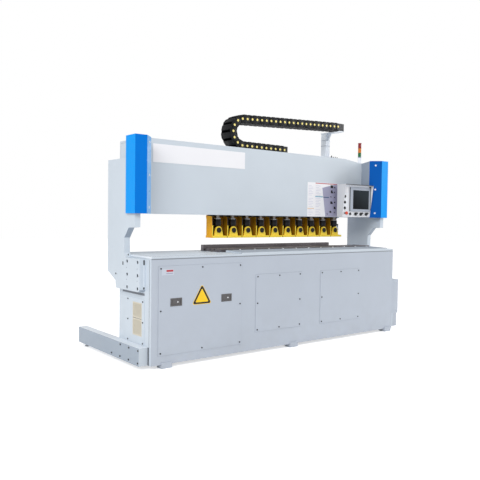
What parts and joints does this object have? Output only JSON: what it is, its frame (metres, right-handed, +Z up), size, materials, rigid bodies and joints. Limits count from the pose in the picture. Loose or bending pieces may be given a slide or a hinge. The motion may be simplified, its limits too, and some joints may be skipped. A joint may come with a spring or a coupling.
{
  "type": "plate edge milling machine",
  "caption": "Plate edge milling machine: welded base, side columns and cross beam, a row of press feet over the bed, a rear milling carriage with a drag chain, and a control console.",
  "frame": {"origin": "middle of the base cabinet, on the floor, at the centre of the four anchor holes", "axes": "+X along the machine to the control console's end, +Y from the operator's side to the rear, +Z up"},
  "size_m": [3.7, 1.389, 2.5933],
  "materials": {
    "panel_grey": "satin light grey paint",
    "pale_grey": "satin pale grey paint",
    "cover_blue": "gloss blue paint",
    "foot_yellow": "satin yellow paint",
    "black_parts": "black plastic",
    "black_steel": "blackened steel",
    "bed_steel": "ground dark steel",
    "bright_steel": "ground bright steel",
    "filter_beige": "moulded beige plastic",
    "console_white": "satin white paint",
    "screen_grey": "grey screen frame",
    "stop_red": "red plastic",
    "drive_black": "dark grey machine enamel",
    "lamp_plastic": "coloured lamp lenses on a grey foot"
  },
  "bodies": {
    "frame": {"base_cabinet": "panel_grey", "table_top": "pale_grey", "work_bed": "bed_steel", "clamp_bar": "bed_steel", "panel_a": "panel_grey", "small_panels": "panel_grey", "panel_screws": "black_steel", "filter_panel": "panel_grey", "filter_grilles": "filter_beige", "latch_frames": "drive_black", "side_columns": "panel_grey", "column_bolts": "black_steel", "cross_beam": "pale_grey", "chain_tray": "pale_grey", "foot_guides": "bright_steel", "end_covers": "cover_blue", "cover_brackets": "panel_grey", "cover_screws": "console_white", "clamp_cylinders": "black_steel", "carriage_rails": "bright_steel", "drive_rack": "bright_steel", "foot_beams": "panel_grey", "levelling_feet": "black_steel", "console_housing": "console_white", "console_screen": "screen_grey", "signal_tower": "lamp_plastic", "electrical_box": "panel_grey", "chip_tray": "panel_grey", "chain_lower_run": "black_parts"},
    "chain_bend": {"chain_loop": "black_parts"},
    "carriage": {"chain_upper_run": "black_parts", "chain_post": "pale_grey", "carriage_saddle": "cover_blue", "guide_blocks": "bright_steel", "feed_motor": "drive_black"},
    "pinion": {"drive_pinion": "bright_steel"},
    "head": {"head_slide": "cover_blue"},
    "milling_unit": {"milling_head": "drive_black"},
    "spindle": {"spindle_cutter": "bright_steel"},
    "left_paddle": {"latch_paddle_left": "drive_black"},
    "right_paddle": {"latch_paddle_right": "drive_black"},
    "stop_button": {"estop": "stop_red"},
    "foot_1": {"press_foot_1": "foot_yellow"},
    "foot_2": {"press_foot_2": "foot_yellow"},
    "foot_3": {"press_foot_3": "foot_yellow"},
    "foot_4": {"press_foot_4": "foot_yellow"},
    "foot_5": {"press_foot_5": "foot_yellow"},
    "foot_6": {"press_foot_6": "foot_yellow"},
    "foot_7": {"press_foot_7": "foot_yellow"},
    "foot_8": {"press_foot_8": "foot_yellow"},
    "foot_9": {"press_foot_9": "foot_yellow"},
    "foot_10": {"press_foot_10": "foot_yellow"},
    "push_1": {"button_1": "black_parts"},
    "push_2": {"button_2": "black_parts"},
    "push_3": {"button_3": "black_parts"},
    "push_4": {"button_4": "black_parts"},
    "knob_1": {"selector_1": "black_parts"},
    "knob_2": {"selector_2": "black_parts"},
    "knob_3": {"selector_3": "black_parts"}
  },
  "joints": [
    {"name": "carriage_travel", "type": "slide", "parent": "frame", "child": "carriage", "axis": [1, 0, 0], "range_m": [-2, 0.05], "deforming": ["chain_upper_run", "chain_lower_run"]},
    {"name": "chain_bend_travel", "type": "slide", "parent": "frame", "child": "chain_bend", "axis": [1, 0, 0], "range_m": [-1, 0.025]},
    {"name": "pinion_turn", "type": "hinge", "parent": "carriage", "child": "pinion", "pos_m": [1.085, 0.3325, 1.81], "axis": [0, -1, 0], "range_deg": [-1440, 45]},
    {"name": "head_feed", "type": "slide", "parent": "carriage", "child": "head", "axis": [0, 0, 1], "range_m": [-0.125, 0]},
    {"name": "head_tilt", "type": "hinge", "parent": "head", "child": "milling_unit", "pos_m": [1.335, 0.4525, 1.25], "axis": [-1, 0, 0], "range_deg": [0, 45]},
    {"name": "spindle_turn", "type": "hinge", "parent": "milling_unit", "child": "spindle", "pos_m": [1.335, 0.3925, 1.25], "axis": [0, -1, 0], "continuous": true},
    {"name": "foot_1_press", "type": "slide", "parent": "frame", "child": "foot_1", "axis": [0, 0, 1], "range_m": [-0.07, 0]},
    {"name": "foot_2_press", "type": "slide", "parent": "frame", "child": "foot_2", "axis": [0, 0, 1], "range_m": [-0.07, 0]},
    {"name": "foot_3_press", "type": "slide", "parent": "frame", "child": "foot_3", "axis": [0, 0, 1], "range_m": [-0.07, 0]},
    {"name": "foot_4_press", "type": "slide", "parent": "frame", "child": "foot_4", "axis": [0, 0, 1], "range_m": [-0.07, 0]},
    {"name": "foot_5_press", "type": "slide", "parent": "frame", "child": "foot_5", "axis": [0, 0, 1], "range_m": [-0.07, 0]},
    {"name": "foot_6_press", "type": "slide", "parent": "frame", "child": "foot_6", "axis": [0, 0, 1], "range_m": [-0.07, 0]},
    {"name": "foot_7_press", "type": "slide", "parent": "frame", "child": "foot_7", "axis": [0, 0, 1], "range_m": [-0.07, 0]},
    {"name": "foot_8_press", "type": "slide", "parent": "frame", "child": "foot_8", "axis": [0, 0, 1], "range_m": [-0.07, 0]},
    {"name": "foot_9_press", "type": "slide", "parent": "frame", "child": "foot_9", "axis": [0, 0, 1], "range_m": [-0.07, 0]},
    {"name": "foot_10_press", "type": "slide", "parent": "frame", "child": "foot_10", "axis": [0, 0, 1], "range_m": [-0.07, 0]},
    {"name": "left_paddle_swing", "type": "hinge", "parent": "frame", "child": "left_paddle", "pos_m": [-1.488, -0.3075, 0.5955], "axis": [0, 0, -1], "range_deg": [0, 50], "stiffness_Nm_per_rad": 0.6},
    {"name": "right_paddle_swing", "type": "hinge", "parent": "frame", "child": "right_paddle", "pos_m": [-0.915, -0.3075, 0.5955], "axis": [0, 0, -1], "range_deg": [0, 50], "stiffness_Nm_per_rad": 0.6},
    {"name": "button_1_press", "type": "slide", "parent": "frame", "child": "push_1", "axis": [0, 1, 0], "range_m": [0, 0.004], "stiffness_N_per_m": 400},
    {"name": "button_2_press", "type": "slide", "parent": "frame", "child": "push_2", "axis": [0, 1, 0], "range_m": [0, 0.004], "stiffness_N_per_m": 400},
    {"name": "button_3_press", "type": "slide", "parent": "frame", "child": "push_3", "axis": [0, 1, 0], "range_m": [0, 0.004], "stiffness_N_per_m": 400},
    {"name": "button_4_press", "type": "slide", "parent": "frame", "child": "push_4", "axis": [0, 1, 0], "range_m": [0, 0.004], "stiffness_N_per_m": 400},
    {"name": "stop_press", "type": "slide", "parent": "frame", "child": "stop_button", "axis": [0, 1, 0], "range_m": [0, 0.005], "stiffness_N_per_m": 800},
    {"name": "selector_1_turn", "type": "hinge", "parent": "frame", "child": "knob_1", "pos_m": [1.289, -0.0495, 1.442], "axis": [0, -1, 0], "range_deg": [-45, 45]},
    {"name": "selector_2_turn", "type": "hinge", "parent": "frame", "child": "knob_2", "pos_m": [1.386, -0.0495, 1.442], "axis": [0, -1, 0], "range_deg": [-45, 45]},
    {"name": "selector_3_turn", "type": "hinge", "parent": "frame", "child": "knob_3", "pos_m": [1.485, -0.0495, 1.442], "axis": [0, -1, 0], "range_deg": [-45, 45]}
  ],
  "couplings": [
    {"joint": "chain_bend_travel", "follows": "carriage_travel", "ratio": 0.5},
    {"joint": "pinion_turn", "follows": "carriage_travel", "rad_per_m": 12.5},
    {"joint": "foot_2_press", "follows": "foot_1_press", "ratio": 1},
    {"joint": "foot_3_press", "follows": "foot_1_press", "ratio": 1},
    {"joint": "foot_4_press", "follows": "foot_1_press", "ratio": 1},
    {"joint": "foot_5_press", "follows": "foot_1_press", "ratio": 1},
    {"joint": "foot_6_press", "follows": "foot_1_press", "ratio": 1},
    {"joint": "foot_7_press", "follows": "foot_1_press", "ratio": 1},
    {"joint": "foot_8_press", "follows": "foot_1_press", "ratio": 1},
    {"joint": "foot_9_press", "follows": "foot_1_press", "ratio": 1},
    {"joint": "foot_10_press", "follows": "foot_1_press", "ratio": 1}
  ]
}
